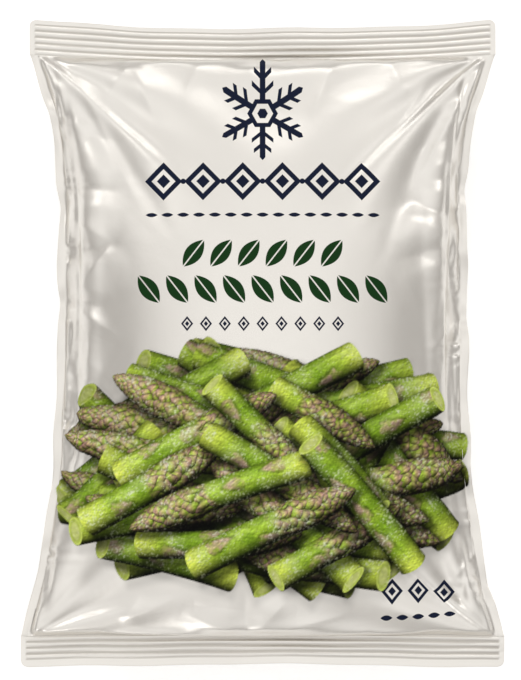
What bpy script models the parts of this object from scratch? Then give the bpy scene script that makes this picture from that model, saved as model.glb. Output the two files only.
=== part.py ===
"""A heat-sealed film pouch, filled with deep-frozen cut asparagus spears.

The pouch lies on its back, as a filled pouch does on a table or a freezer shelf. It is two sheets of film, one
over the other, welded together all round: a narrow plain seal down each side and a wide ribbed seal across each
end. Between the welds the sheets are puffed up by the spears and the air that they were packed with.

Metres, +Z up. The origin is under the middle of the pouch, on the surface that it lies on. +Y runs towards the
pouch's head, and the printed front faces +Z.
"""

import math
import random

import bmesh
import bpy
from mathutils import Matrix, Vector

# The pouch as filled, measured over its seals
HEIGHT = 0.315
HEAD_WIDTH = 0.2265
WAIST_WIDTH = 0.200
FOOT_WIDTH = 0.235
SEAM_LEVEL = 0.034
CROWN_LEVEL = 0.076

# How fast the sides flare from the waist to the two end seals
HEAD_FLARE_LENGTH = 0.065
HEAD_FLARE_POWER = 2.0
FOOT_FLARE_LENGTH = 0.125
FOOT_FLARE_POWER = 2.2

# The seals. The end seals bow inwards, because the puffed sheets pull most at the middle
SIDE_SEAL = 0.004
HEAD_SEAL = 0.017
HEAD_HEM = 0.0022
HEAD_RIBS = 5
HEAD_BOW = 0.0044
FOOT_SEAL = 0.0155
FOOT_HEM = 0.0047
FOOT_RIBS = 4
FOOT_BOW = 0.0018
RIB_HEIGHT = 0.0007

# The film. Real film is about 0.1 mm thick: this is the thinnest wall that stays a sound solid
FILM = 0.0006
WELD_GAP = 0.0003

# The rounding of the puffed sheets. Across its middle the pouch is leaner at the sides than it is near its ends
BOXINESS = 2.8
MIDDLE_LEANNESS = 1.15
END_LEANNESS = 0.75
END_ROUNDING = 0.75
BACK_FLATTENING = 1.25

# How finely the sheets are divided
COLUMNS = 20
ROWS = 24

# The spears: cut lengths of green asparagus, every other one with its tip
SPEAR_RADII = (0.0072, 0.0082)
SPEAR_LENGTHS = (0.058, 0.098)
SPEAR_SIDES = 7
NECK_SHARE = 0.93
STEM_RINGS = 4
TIP_LENGTH = 0.036
TIP_RINGS = 6
TIP_TAPER = 1.36
TIP_BLUNTNESS = 0.72
TIP_SWELL = 0.10
SCALE_RELIEF = 0.07

# How the spears lie: the turn of each layer, and the room that they leave for creases in the front sheet
LAYER_TURNS = (6, -10, 8, -6)
LANE_STEP = 0.002
RING_TRIALS = 12
BODY_GAP = 0.0005
CREASE_ROOM = 0.003
SEED = 7


def clear_scene():
    for thing in list(bpy.data.objects):
        bpy.data.objects.remove(thing, do_unlink=True)


def material(name, colour, roughness, metallic=0.0):
    made = bpy.data.materials.new(name)
    made.use_nodes = True
    shader = made.node_tree.nodes["Principled BSDF"]
    shader.inputs["Base Color"].default_value = (*colour, 1.0)
    shader.inputs["Roughness"].default_value = roughness
    shader.inputs["Metallic"].default_value = metallic
    made.diffuse_color = (*colour, 1.0)
    return made


def flare(distance, length, power):
    """1 at an end seal, falling smoothly to 0 at the given length from it."""
    return max(0.0, 1.0 - max(0.0, distance) / length) ** power


def half_width(y):
    """Half the pouch's width, over its side seals, at a height along it."""
    from_head = HEIGHT / 2 - HEAD_SEAL - y
    from_foot = y + HEIGHT / 2 - FOOT_SEAL
    head = (HEAD_WIDTH - WAIST_WIDTH) * flare(from_head, HEAD_FLARE_LENGTH, HEAD_FLARE_POWER)
    foot = (FOOT_WIDTH - WAIST_WIDTH) * flare(from_foot, FOOT_FLARE_LENGTH, FOOT_FLARE_POWER)
    return (WAIST_WIDTH + head + foot) / 2


def puff(x, y):
    """How far the sheets stand apart at a point, from 0 on the welds to 1 at the middle."""
    foot = -HEIGHT / 2 + FOOT_SEAL
    head = HEIGHT / 2 - HEAD_SEAL
    along = max(-1.0, min(1.0, (2.0 * y - foot - head) / (head - foot)))
    across = min(1.0, abs(x) / (half_width(y) - SIDE_SEAL))
    from_ends = 1.0 - along * along
    leanness = END_LEANNESS + (MIDDLE_LEANNESS - END_LEANNESS) * from_ends
    return (1.0 - across**BOXINESS) ** leanness * from_ends**END_ROUNDING


def front_level(x, y):
    """The inner face of the front sheet."""
    seam = SEAM_LEVEL + WELD_GAP / 2
    return seam + (CROWN_LEVEL - FILM - seam) * puff(x, y)


def back_level(x, y):
    """The inner face of the back sheet, pressed flat in the middle by what it lies on."""
    seam = SEAM_LEVEL - WELD_GAP / 2
    return seam - (seam - FILM) * min(1.0, BACK_FLATTENING * puff(x, y))


def rib_rows(start, end, ribs):
    """Heights along the pouch across one end seal, each with its rib's level: ridge, groove, ridge and so on."""
    step = (end - start) / (2 * ribs)
    return [(start + step * (k + 0.5), RIB_HEIGHT * (-1) ** k) for k in range(2 * ribs)]


def sheet_rows():
    """(height along the pouch, rib level) of each row of a sheet's faces, foot to head."""
    foot, head = -HEIGHT / 2, HEIGHT / 2
    low, high = foot + FOOT_SEAL, head - HEAD_SEAL
    middle = (low + high) / 2
    reach = (high - low) / 2
    rows = [(foot, 0.0)]
    rows += rib_rows(foot + FOOT_HEM, low, FOOT_RIBS)
    rows += [(middle - reach * math.cos(math.pi * k / ROWS), 0.0) for k in range(ROWS + 1)]
    rows += rib_rows(high, head - HEAD_HEM, HEAD_RIBS)
    rows += [(head, 0.0)]
    return rows


def sheet_columns():
    """(share of the half-width inside the seams, 1 on the outer edge) of each column."""
    inner = [(-math.cos(math.pi * k / COLUMNS), 0) for k in range(COLUMNS + 1)]
    return [(-1.0, -1), *inner, (1.0, 1)]


def bowed(x, y):
    """The height along the pouch once the ends have been drawn in at their middles."""
    bow = HEAD_BOW if y > 0 else FOOT_BOW
    share = min(1.0, abs(x) / half_width(y))
    return y - math.copysign(bow, y) * abs(2.0 * y / HEIGHT) * (1.0 - share * share)


def sheet(name, level, outwards, finish):
    """One sheet of film: a grid laid out over the pouch, puffed by level(x, y) and given its thickness."""
    rows, columns = sheet_rows(), sheet_columns()
    mesh = bpy.data.meshes.new(name)
    shape = bmesh.new()
    bmesh.ops.create_grid(shape, x_segments=len(columns) - 1, y_segments=len(rows) - 1, size=1.0)
    for corner in shape.verts:
        column = round((corner.co.x + 1.0) / 2.0 * (len(columns) - 1))
        row = round((corner.co.y + 1.0) / 2.0 * (len(rows) - 1))
        share, rim = columns[column]
        y, rib = rows[row]
        x = share * (half_width(y) - SIDE_SEAL) + rim * SIDE_SEAL
        on_weld = rim or rib or abs(share) == 1.0
        z = level(half_width(y), y) + (0.0 if rim else rib) if on_weld else level(x, y)
        corner.co = (x, bowed(x, y), z)
    if outwards < 0:
        bmesh.ops.reverse_faces(shape, faces=shape.faces)
    shape.to_mesh(mesh)
    shape.free()
    made = bpy.data.objects.new(name, mesh)
    wall = made.modifiers.new("film", "SOLIDIFY")
    wall.thickness = FILM
    wall.offset = 1.0
    mesh.materials.append(finish)
    return made


def spear_profile(length, radius, has_tip):
    """(distance from the butt, radius, depth of the scales) of each ring of a spear."""
    neck = NECK_SHARE * radius
    if not has_tip:
        steps = [k / (STEM_RINGS - 1) for k in range(STEM_RINGS)]
        return [(length * step, radius + (neck - radius) * step, 0.0) for step in steps]
    stem = length - TIP_LENGTH
    rings = [(0.0, radius, 0.0), (stem / 2, neck, 0.0)]
    for k in range(TIP_RINGS):
        step = k / (TIP_RINGS - 1)
        swell = math.cos(step * TIP_TAPER) ** TIP_BLUNTNESS * (1.0 + TIP_SWELL * math.sin(math.pi * step))
        depth = 0.0 if k in (0, TIP_RINGS - 1) else SCALE_RELIEF * radius
        rings.append((stem + TIP_LENGTH * step, neck * swell, depth))
    return rings


def spear(name, place, length, radius, has_tip, finish):
    """One cut spear, grown from its butt along its own Z. A ring of scales stands out at every other corner."""
    mesh = bpy.data.meshes.new(name)
    shape = bmesh.new()
    rings = spear_profile(length, radius, has_tip)
    made = bmesh.ops.create_circle(shape, cap_ends=True, radius=rings[0][1], segments=SPEAR_SIDES)
    butt = made["verts"][0].link_faces[0]
    if butt.normal.z > 0:
        butt.normal_flip()
    ring = list(butt.verts)
    for number, (along, wide, relief) in enumerate(rings[1:], 1):
        upper = []
        for k, corner in enumerate(ring):
            turn = Vector((corner.co.x, corner.co.y, 0.0)).normalized()
            stands_out = relief if (k + number) % 2 else -relief
            upper.append(shape.verts.new(turn * (wide + stands_out) + Vector((0.0, 0.0, along))))
        for k in range(len(ring)):
            after = (k + 1) % len(ring)
            shape.faces.new((ring[after], ring[k], upper[k], upper[after]))
        ring = upper
    shape.faces.new(list(reversed(ring)))
    bmesh.ops.recalc_face_normals(shape, faces=shape.faces)
    shape.to_mesh(mesh)
    shape.free()
    mesh.materials.append(finish)
    body = bpy.data.objects.new(name, mesh)
    body.matrix_world = place
    return body


def clear_of_film(centre, side, radius):
    """Whether a ring round a spear's middle line lies inside both sheets."""
    up = Vector((0.0, 0.0, 1.0))
    for k in range(RING_TRIALS):
        turn = math.tau * k / RING_TRIALS
        x, y, z = centre + radius * (math.cos(turn) * side + math.sin(turn) * up)
        y += y - bowed(x, y)
        if not -HEIGHT / 2 + FOOT_SEAL < y < HEIGHT / 2 - HEAD_SEAL:
            return False
        if abs(x) > half_width(y) - SIDE_SEAL:
            return False
        if not back_level(x, y) < z < front_level(x, y) - CREASE_ROOM:
            return False
    return True


def lane_room(origin, along, radius):
    """The stretch of a lane that a spear can fill: (start, end) as distances from the lane's origin."""
    side = Vector((-along.y, along.x, 0.0))
    reach = int(HEIGHT / 2 / LANE_STEP)
    stations = [k * LANE_STEP for k in range(-reach, reach + 1)]
    free = [station for station in stations if clear_of_film(origin + along * station, side, radius)]
    return (free[0], free[-1]) if free else (0.0, 0.0)


def cut_lengths(chance, room):
    """The lengths of the spears that lie end to end in a lane."""
    shortest, longest = SPEAR_LENGTHS
    lengths = []
    while room >= shortest:
        length = min(room, chance.uniform(shortest, longest))
        if room - length < shortest:
            length = min(room, longest)
        lengths.append(length)
        room -= length + BODY_GAP
    return lengths


def lay_spears(chance):
    """The frozen spears as they settle: layer on layer, each turned a little, in lanes side by side.

    Each one is (butt end of its lane place, lane direction, length, radius).
    """
    thickest = SPEAR_RADII[1] * (1.0 + SCALE_RELIEF)
    lane = 2.0 * thickest + BODY_GAP
    laid = []
    for layer, turn in enumerate(LAYER_TURNS):
        level = FILM + 2.0 * BODY_GAP + thickest + layer * lane
        along = Vector((math.sin(math.radians(turn)), math.cos(math.radians(turn)), 0.0))
        across = Vector((along.y, -along.x, 0.0))
        lanes = int(WAIST_WIDTH / lane)
        for number in range(-lanes, lanes + 1):
            origin = across * (number + 0.5) * lane + Vector((0.0, 0.0, level))
            cursor, end = lane_room(origin, along, thickest + BODY_GAP)
            for length in cut_lengths(chance, end - cursor):
                laid.append((origin + along * cursor, along, length, chance.uniform(*SPEAR_RADII)))
                cursor += length + BODY_GAP
    return laid


def place_of(start, along, length, to_head, roll):
    """The matrix that lays a spear's own Z along its lane, butt first or tip first."""
    heading = along if to_head else -along
    origin = start if to_head else start + along * length
    turned = heading.to_track_quat("Z", "Y").to_matrix().to_4x4()
    return Matrix.Translation(origin) @ turned @ Matrix.Rotation(roll, 4, "Z")


def build():
    clear_scene()
    pouch = bpy.data.collections.new("asparagus_pouch")
    bpy.context.scene.collection.children.link(pouch)

    film = material("pearl_film", (0.80, 0.78, 0.74), 0.32, 0.2)
    for name, level, outwards in (("film_front", front_level, 1), ("film_back", back_level, -1)):
        pouch.objects.link(sheet(name, level, outwards, film))

    tip_skin = material("spear_tip", (0.20, 0.24, 0.07), 0.6)
    stem_skin = material("spear_stem", (0.24, 0.42, 0.06), 0.55)
    chance = random.Random(SEED)
    for number, (start, along, length, radius) in enumerate(lay_spears(chance), 1):
        has_tip = number % 2 == 1
        name = f"spear_{number:02d}_{'tip' if has_tip else 'stem'}"
        place = place_of(start, along, length, chance.random() < 0.5, chance.uniform(0.0, math.tau))
        skin = tip_skin if has_tip else stem_skin
        pouch.objects.link(spear(name, place, length, radius, has_tip, skin))


build()
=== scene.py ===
import math

import bmesh
import bpy
import numpy as np
from mathutils import Matrix, Vector


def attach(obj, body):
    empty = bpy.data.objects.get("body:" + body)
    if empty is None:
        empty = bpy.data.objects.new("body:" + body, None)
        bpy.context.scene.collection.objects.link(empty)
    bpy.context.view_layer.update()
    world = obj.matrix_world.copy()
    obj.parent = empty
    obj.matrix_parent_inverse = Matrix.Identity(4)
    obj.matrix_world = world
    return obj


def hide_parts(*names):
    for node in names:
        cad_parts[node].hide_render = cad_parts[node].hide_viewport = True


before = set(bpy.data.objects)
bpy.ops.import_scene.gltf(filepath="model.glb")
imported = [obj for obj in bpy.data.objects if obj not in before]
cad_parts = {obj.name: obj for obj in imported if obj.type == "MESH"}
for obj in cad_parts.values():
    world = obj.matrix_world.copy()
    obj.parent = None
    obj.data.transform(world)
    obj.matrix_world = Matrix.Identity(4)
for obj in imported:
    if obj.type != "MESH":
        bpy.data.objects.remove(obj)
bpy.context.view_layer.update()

world = bpy.context.scene

# The film of the pouch: two sheets of pearl-white laminate, a tenth of a millimetre thick, heat-welded all
# round. Filled and closed, they are drawn in at the sides and puffed up, and the back lies flat.

HEIGHT = 0.315
HEAD_WIDTH = 0.2265
WAIST_WIDTH = 0.200
FOOT_WIDTH = 0.235
SEAM_LEVEL = 0.034
HEAD_FLARE = (0.065, 2.0)
FOOT_FLARE = (0.125, 2.2)
SIDE_SEAL = 0.004
HEAD_SEAL = 0.017
FOOT_SEAL = 0.0155
HEAD_BOW = 0.0044
FOOT_BOW = 0.0018
CHAMBER_FOOT = -HEIGHT / 2 + FOOT_SEAL
CHAMBER_HEAD = HEIGHT / 2 - HEAD_SEAL

# The form that the contents hold the film to: its crown, how square it is, and how far the film may lie below
# and above it, in its broad form and in its creases
CROWN_LEVEL = 0.0754
BOXINESS = 2.8
END_LEANNESS, MIDDLE_LEANNESS = 0.75, 1.15
END_ROUNDING = 0.75
BACK_FLATTENING = 1.25
BROAD_ROOM = (0.0011, 0.0030)
CREASE_ROOM = (0.0014, 0.0050)

# The sheets before filling: the chamber's length along its middle and at its sides, and how much wider they
# are cut than the seals end up
FLAT_LENGTH = 0.300
SIDE_LENGTH = 0.2855
HEAD_FULLNESS = 1.012
FOOT_FULLNESS = 1.006

# Kinks in the side seals: side, place along the pouch, how far in, over what length, how far up or down; and
# how much of that length the film is gathered by
KINK_GATHER = 0.35
KINKS = (
    (-1, 0.113, 0.0012, 0.0050, 0.003),
    (-1, 0.067, 0.0026, 0.0065, -0.004),
    (-1, 0.020, 0.0022, 0.0060, -0.003),
    (-1, -0.045, -0.0010, 0.0100, 0.002),
    (-1, -0.100, -0.0012, 0.0080, -0.003),
    (1, 0.114, 0.0018, 0.0060, 0.003),
    (1, 0.075, 0.0032, 0.0065, -0.004),
    (1, 0.046, 0.0012, 0.0060, 0.003),
    (1, 0.012, 0.0010, 0.0050, -0.003),
    (1, -0.060, 0.0009, 0.0060, 0.002),
    (1, -0.118, 0.0020, 0.0060, -0.003),
)


def unit(value):
    """A value kept between 0 and 1."""
    return np.clip(value, 0.0, 1.0)


def flare(distance, length, power):
    """How far an end widens the pouch, from 1 at the end itself to 0 at a length from it."""
    return unit(1.0 - np.maximum(0.0, distance) / length) ** power


def half_width(y):
    """Half the pouch's width over its side seals, at a height along it."""
    head = (HEAD_WIDTH - WAIST_WIDTH) * flare(CHAMBER_HEAD - y, *HEAD_FLARE)
    foot = (FOOT_WIDTH - WAIST_WIDTH) * flare(y - CHAMBER_FOOT, *FOOT_FLARE)
    return (WAIST_WIDTH + head + foot) / 2


def end_bow(x, y):
    """How far an end seal is drawn inwards at x."""
    share = np.minimum(1.0, np.abs(x) / half_width(y))
    return np.where(y > 0, -HEAD_BOW, FOOT_BOW) * (1.0 - share**2)


def puff(x, y):
    """How far the contents hold the sheets apart at a point, from 0 on the welds to 1 at the middle."""
    along = np.clip((2 * y - CHAMBER_FOOT - CHAMBER_HEAD) / (CHAMBER_HEAD - CHAMBER_FOOT), -1.0, 1.0)
    across = np.minimum(1.0, np.abs(x) / (half_width(y) - SIDE_SEAL))
    from_ends = 1.0 - along**2
    leanness = END_LEANNESS + (MIDDLE_LEANNESS - END_LEANNESS) * from_ends
    return (1.0 - across**BOXINESS) ** leanness * from_ends**END_ROUNDING


def side_seam(side, steps):
    """The line of one side seam, foot to head, with its kinks and its small waves."""
    y = CHAMBER_FOOT + (CHAMBER_HEAD - CHAMBER_FOOT) * steps
    mine = [kink[1:] for kink in KINKS if kink[0] == side]
    for height, _, length, _ in mine:
        pull = KINK_GATHER * length * np.tanh((height - y) / length)
        y = y + pull * np.exp(-(((y - height) / (3 * length)) ** 2))
    calm = unit(np.minimum(y - CHAMBER_FOOT, CHAMBER_HEAD - y) / 0.02)
    x = half_width(y) - SIDE_SEAL + calm * 0.0004 * np.sin(121 * y + 1.3 * side)
    z = SEAM_LEVEL + calm * (0.0009 * np.sin(97 * y + 2 * side) + 0.0003 * np.sin(301 * y + side))
    for height, inward, length, lift in mine:
        near = np.exp(-(((y - height) / length) ** 2))
        x = x - inward * near
        z = z + 0.6 * calm * lift * near
    return np.stack([side * x, y, z], -1)


# The cloth: its pitch and how many frames it is blown for, how far apart its sheets start, and how far below
# the pouch the table stands meanwhile
QUICK_CLOTH, FULL_CLOTH = (0.006, 26), (0.003, 44)
START_GAP = 0.0006
TABLE_LEVEL = -0.0019


def sheet_patterns(columns, rows):
    """A sheet's points as it is cut, and as its edge lies once the pouch is closed, from foot to head."""
    across, along = np.linspace(-1.0, 1.0, columns + 1), np.linspace(0.0, 1.0, rows + 1)
    foot_half = FOOT_WIDTH / 2 * FOOT_FULLNESS - SIDE_SEAL
    head_half = HEAD_WIDTH / 2 * HEAD_FULLNESS - SIDE_SEAL
    flat = np.empty((rows + 1, columns + 1, 3))
    flat[..., 0] = across[None, :] * (foot_half + (head_half - foot_half) * along)[:, None]
    lengths = FLAT_LENGTH + (SIDE_LENGTH - FLAT_LENGTH) * across**2
    flat[..., 1] = (along - 0.5)[:, None] * lengths[None, :] + (CHAMBER_FOOT + CHAMBER_HEAD) / 2
    flat[..., 2] = SEAM_LEVEL
    closed = flat.copy()
    closed[:, 0], closed[:, -1] = side_seam(-1, along), side_seam(1, along)
    for row, y in ((0, CHAMBER_FOOT), (-1, CHAMBER_HEAD)):
        x = across * (half_width(y) - SIDE_SEAL)
        closed[row] = np.stack([x, y + end_bow(x, y), np.full_like(x, SEAM_LEVEL)], -1)
    return flat, closed


def object_from(shape, name):
    """Makes a bmesh an object of the scene."""
    mesh = bpy.data.meshes.new(name)
    shape.to_mesh(mesh)
    shape.free()
    made = bpy.data.objects.new(name, mesh)
    world.collection.objects.link(made)
    return made


def welded_bag(flat):
    """Two sheets of cloth, a little apart and welded at their edges, and the numbers of the points welded."""
    rows, columns = flat.shape[0] - 1, flat.shape[1] - 1
    cloth = bmesh.new()
    bmesh.ops.create_grid(cloth, x_segments=columns, y_segments=rows, size=1.0)
    twin = bmesh.ops.duplicate(cloth, geom=cloth.faces[:])["geom"]
    bmesh.ops.reverse_faces(cloth, faces=[part for part in twin if isinstance(part, bmesh.types.BMFace)])
    lower = [part for part in twin if isinstance(part, bmesh.types.BMVert)]
    upper = list(set(cloth.verts) - set(lower))
    edge = np.ones((rows + 1, columns + 1), bool)
    edge[1:-1, 1:-1] = False
    ease = START_GAP * (1.0 + 0.35 * np.sin(170 * flat[..., 0] + 1) * np.sin(140 * flat[..., 1] + 0.4))
    for side, (sheet, way) in enumerate(((upper, 1), (lower, -1))):
        sheet.sort(key=lambda vert: (round(vert.co.y, 4), round(vert.co.x, 4)))
        lifted = flat + np.where(edge, 0.0, way * ease)[..., None] * (0, 0, 1)
        for number, (vert, place) in enumerate(zip(sheet, lifted.reshape(-1, 3))):
            vert.co = place
            vert.index = side * edge.size + number
    cloth.verts.sort()
    cloth.verts.ensure_lookup_table()
    welds = [int(k) for k in np.flatnonzero(edge)]
    bmesh.ops.weld_verts(cloth, targetmap={cloth.verts[k + edge.size]: cloth.verts[k] for k in welds})
    return object_from(cloth, "blown"), welds


def add_cloth(bag, welds, last):
    """Gives the bag the film's stiffness and the pressure inside it, with its welds held where they are."""
    held = bag.vertex_groups.new(name="welds")
    held.add(welds, 1.0, "REPLACE")
    cloth = bag.modifiers.new("cloth", "CLOTH")
    cloth.point_cache.frame_end = last
    film = cloth.settings
    film.quality = 8
    film.mass = 0.05
    film.tension_stiffness = 60
    film.compression_stiffness = 40
    film.shear_stiffness = 20
    film.bending_stiffness = 0.02
    film.tension_damping = film.compression_damping = film.shear_damping = 5
    film.bending_damping = 0.5
    film.air_damping = 3
    film.use_pressure = True
    film.uniform_pressure_force = 14
    film.vertex_group_mass = held.name
    film.effector_weights.gravity = 0
    cloth.collision_settings.distance_min = 0.001


def table_under_bag():
    """The table that the pouch is pressed flat against while it is blown."""
    top = bmesh.new()
    bmesh.ops.create_grid(top, size=1.0, matrix=Matrix.Translation((0, 0, TABLE_LEVEL)))
    table = object_from(top, "table")
    table.modifiers.new("table", "COLLISION")
    table.collision.thickness_outer = 0.001
    return table


def blown_sheets():
    """The filled chamber's front and back sheets, as grids of points from foot to head and left to right."""
    pitch, last = FULL_CLOTH
    columns, rows = round((WAIST_WIDTH + 0.021) / pitch), round(FLAT_LENGTH / pitch)
    flat, closed = sheet_patterns(columns, rows)
    bag, welds = welded_bag(flat)
    bag.shape_key_add(name="flat")
    drawn = bag.shape_key_add(name="drawn in")
    for k in welds:
        drawn.data[k].co = closed.reshape(-1, 3)[k]
    for moment, value in ((1, 0.0), (last // 2, 1.0)):
        drawn.value = value
        drawn.keyframe_insert("value", frame=moment)
    add_cloth(bag, welds, last)
    table = table_under_bag()
    for moment in range(1, last + 1):
        world.frame_set(moment)

    blown = bag.evaluated_get(bpy.context.evaluated_depsgraph_get()).data
    places = np.empty(len(blown.vertices) * 3)
    blown.vertices.foreach_get("co", places)
    places = places.reshape(-1, 3)
    for used in (bag, table):
        bpy.data.objects.remove(used, do_unlink=True)
    world.frame_set(1)
    count = (rows + 1) * (columns + 1)
    front_points = places[:count].reshape(rows + 1, columns + 1, 3)
    back_points = front_points.copy()
    back_points[1:-1, 1:-1] = places[count:].reshape(rows - 1, columns - 1, 3)
    return front_points, back_points


front_points, back_points = blown_sheets()

# Creases that the filled film keeps: pleats that fan out from the chamber's four corners, and single soft
# folds. A pleat fan: corner (across, along), how many, where the first one points, how high at its highest
PLEAT_FANS = (
    (-1, 1, 3.6, 0.3, 0.00105),
    (1, 1, 3.4, 2.2, 0.00105),
    (-1, -1, 3.3, 1.1, 0.00110),
    (1, -1, 3.5, 0.2, 0.00110),
)
PLEAT_REACH = 0.042

# Single folds on the front: from (x, y) to (x, y), height, how far its slopes run, in millimetres. A fold
# with a height below zero is a sharp valley between two swells of that height
FOLDS = (
    (-104, 132, -95, 112, 1.2, 4.0),
    (-101, 134, -73, 108, 1.2, 4.5),
    (-92, 134, -57, 62, 2.0, 7.0),
    (-101, 103, -92, 115, -1.5, 5.0),
    (-100, 78, -66, 73, -3.0, 8.0),
    (-97, 63, -72, 49, 2.8, 4.5),
    (-99, 41, -67, 50, -3.0, 8.0),
    (-73, 48, -93, 22, 1.6, 4.5),
    (-96, 21, -72, 18, -2.0, 6.0),
    (-92, 18, -68, 3, 1.5, 4.0),
    (-98, -12, -76, -22, -1.8, 7.0),
    (-99, -62, -82, -78, -1.7, 7.0),
    (104, 133, 88, 104, 1.2, 4.5),
    (98, 122, 70, 70, 2.6, 4.5),
    (81, 128, 50, 84, 1.2, 6.5),
    (101, 85, 75, 76, -2.4, 5.5),
    (99, 59, 67, 71, -3.0, 7.5),
    (98, 57, 80, 50, 1.4, 4.0),
    (96, 49, 62, 40, -2.2, 8.0),
    (97, 12, 80, -4, 1.5, 4.0),
    (98, -44, 84, -60, -1.8, 7.0),
    (104, -102, 88, -118, 1.4, 4.5),
    (-63, 138, -50, 104, 1.3, 4.2),
    (-63, 138, -78, 116, 1.0, 3.4),
    (-30, 137, -39, 116, 0.9, 3.6),
    (-8, 137, 6, 112, 0.8, 3.8),
    (35, 137, 22, 106, 1.2, 4.2),
    (61, 138, 70, 118, 0.9, 3.6),
    (-114, -142, -88, -112, 3.2, 4.5),
    (-113, -142, -82, -125, -2.0, 5.0),
    (-111, -142, -62, -126, 3.0, 4.5),
    (-67, -134, -58, -120, 0.8, 3.2),
    (-67, -134, -40, -122, 0.9, 3.4),
    (-7, -144, -38, -130, 3.6, 4.5),
    (-10, -143, -56, -138, -1.6, 4.5),
    (-7, -144, -9, -118, -2.6, 8.0),
    (-7, -144, 12, -124, 3.2, 4.5),
    (-4, -143, 44, -130, 2.6, 4.5),
    (114, -142, 100, -106, 2.2, 4.0),
    (113, -142, 84, -118, 2.4, 4.5),
    (111, -142, 52, -126, 3.0, 4.5),
)
FOLD_EDGE, SWELL_SOFTNESS = 0.7, 0.08
PUCKER_HEIGHT, PUCKER_REACH = 0.0008, 0.007

# Where the creases start, from the end welds and, as a share of half the width, from the side welds
CREASE_START = (0.0025, 0.022)

# Where the contents stretch the front taut: how much calmer it is, that stretch's middle and half its size
TAUT_SHARE, TAUT_MIDDLE, TAUT_HALF = 0.65, 0.02, (0.055, 0.085)


def smooth_step(low, high, value):
    """From 0 at low to 1 at high, with a soft start and end."""
    t = unit((value - low) / (high - low))
    return t * t * (3.0 - 2.0 * t)


def pleats(x, y):
    """How far the corner fans lift the film at a point."""
    lift = np.zeros_like(x)
    for across, along, count, phase, height in PLEAT_FANS:
        end = CHAMBER_HEAD if along > 0 else CHAMBER_FOOT
        from_side = across * (half_width(end) - SIDE_SEAL) - x
        from_end = end - y
        away = np.hypot(from_side, from_end)
        angle = np.arctan2(np.abs(from_side), np.abs(from_end) + 1e-6)
        wave = np.sin(4.0 * count * angle * (1.0 + 1.5 * away) + phase + 9.0 * away)
        grows = (away / PLEAT_REACH) * np.exp(1.0 - away / PLEAT_REACH)
        edges = unit(np.minimum(np.abs(from_side), np.abs(from_end)) / 0.004)
        lift += height * wave * grows**1.4 * edges
    return lift


def folds(x, y):
    """How far the single folds lift the film: each is strongest near its start and fades to its end."""
    lift = np.zeros_like(x)
    for x0, y0, x1, y1, height, slope in FOLDS:
        start, run = np.array((x0, y0)) / 1000, np.array((x1 - x0, y1 - y0)) / 1000
        length = np.hypot(*run)
        along = ((x - start[0]) * run[0] + (y - start[1]) * run[1]) / length**2
        aside = 1000 * ((x - start[0]) * run[1] - (y - start[1]) * run[0]) / length
        away = np.hypot(aside, FOLD_EDGE) - FOLD_EDGE
        ridge = np.exp(-away / slope)
        if height < 0:
            rise, fall = away / slope, 1.5 - away / (2 * slope)
            swell = (rise + fall - np.sqrt((rise - fall) ** 2 + SWELL_SOFTNESS)) / 2
            ridge = -np.clip(swell, 0.0, None)
        lasts = smooth_step(-0.08, 0.2, along) * (1.0 - smooth_step(0.4, 1.05, along))
        lift += height / 1000 * ridge * lasts
    return lift


def puckers(x, y):
    """How far the short puckers along the side seams lift the film at a point."""
    from_seam = half_width(y) - SIDE_SEAL - np.abs(x)
    run = 760 * y + 2.4 * np.sin(170 * y + np.sign(x)) + 0.9 * np.sign(x)
    strength = 0.55 + 0.45 * np.sin(217 * y + 2 * np.sign(x))
    return PUCKER_HEIGHT * np.sin(run) * strength * np.exp(-np.abs(from_seam) / PUCKER_REACH)


def curve_weights(count, places):
    """Weights that read a row of count points at places from 0 to count - 1, along a smooth curve."""
    cell = np.clip(np.floor(places).astype(int), 0, count - 2)
    t = places - cell
    shares = ((1 - t) ** 3, 3 * t**3 - 6 * t**2 + 4, 1 + 3 * t + 3 * t**2 - 3 * t**3, t**3)
    weights = np.zeros((len(places), count + 2))
    for step, share in enumerate(shares):
        weights[np.arange(len(places)), cell + step] = share / 6
    for end, inner in ((0, 1), (-1, -1)):
        weights[:, end + inner] += 2 * weights[:, end]
        weights[:, end + 2 * inner] -= weights[:, end]
    return weights[:, 1:-1]


# The seals. An end seal is crimped with ribs, up to a plain hem on its outer side; the side seals are plain.
# The ribs are how many, over what width, how high; they stop part way into the side seals
HEAD_RIBS = (5, 0.0148, 0.00058)
FOOT_RIBS = (4, 0.0120, 0.00068)
RIB_STOP = 0.5
RIB_BIAS = 0.45
WELD_THICKNESS = 0.00024
HEAD_CORNER, FOOT_CORNER = 0.0030, 0.0040


def rib_lift(past, ribs, in_rim):
    """The crimp's height at a distance outwards from a seal's inner edge: rounded ridges between grooves."""
    count, zone, height = ribs
    inside = (past > 0) & (past < zone)
    reach = unit((RIB_STOP - in_rim) / 0.1)
    return np.where(inside, height * (np.sin(np.pi * count * past / zone) ** 2 - RIB_BIAS), 0.0) * reach


def pressed(past, ribs, in_rim):
    """How far the film is pressed into a groove, 0 to 1 at its bottom; the finish paints shade by it."""
    return unit(-rib_lift(past, ribs, in_rim) / (RIB_BIAS * ribs[2]))


def smoothed(grid, passes, across=True):
    """A grid of points with its creases ironed out, or only along its columns where across is false."""
    for _ in range(passes):
        padded = np.pad(grid, ((1, 1), (1, 1), (0, 0)), mode="reflect", reflect_type="odd")
        rows = (padded[:-2] + 2 * padded[1:-1] + padded[2:]) / 4
        grid = (rows[:, :-2] + 2 * rows[:, 1:-1] + rows[:, 2:]) / 4 if across else rows[:, 1:-1]
    return grid


# How often the points are evened out, to find their broad form and the swell beside the side seams, and how
# far from the end welds that swell begins to be taken off, and is all gone
QUICK_IRONING, FULL_IRONING = (15, 22), (60, 90)
SWELL_EVENED = (0.010, 0.045)

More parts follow.
